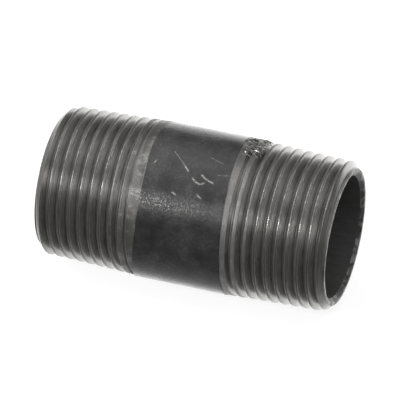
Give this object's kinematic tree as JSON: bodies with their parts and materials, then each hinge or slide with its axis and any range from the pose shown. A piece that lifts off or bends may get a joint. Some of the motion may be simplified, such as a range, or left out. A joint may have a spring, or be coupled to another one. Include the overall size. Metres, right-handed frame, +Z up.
{
  "type": "threaded pipe nipple",
  "caption": "Short length of black steel pipe, open right through, with a right-hand taper pipe thread on each end and a plain lacquered barrel between them.",
  "frame": {"origin": "centre of the bore, midway between the two end faces", "axes": "+X along the bore towards the end face called end_face_b, +Z up; the pipe lies on its side"},
  "size_m": [0.0508, 0.0268, 0.0268],
  "materials": {
    "cut_steel": "bare steel as the die leaves it, lightly oiled",
    "black_lacquer": "satin black lacquer with fine scratches and dust",
    "mill_scale": "dull dark oxide"
  },
  "bodies": {
    "root": {"steel_pipe": "cut_steel", "barrel_lacquer": "black_lacquer", "bore_scale": "mill_scale"}
  },
  "joints": []
}
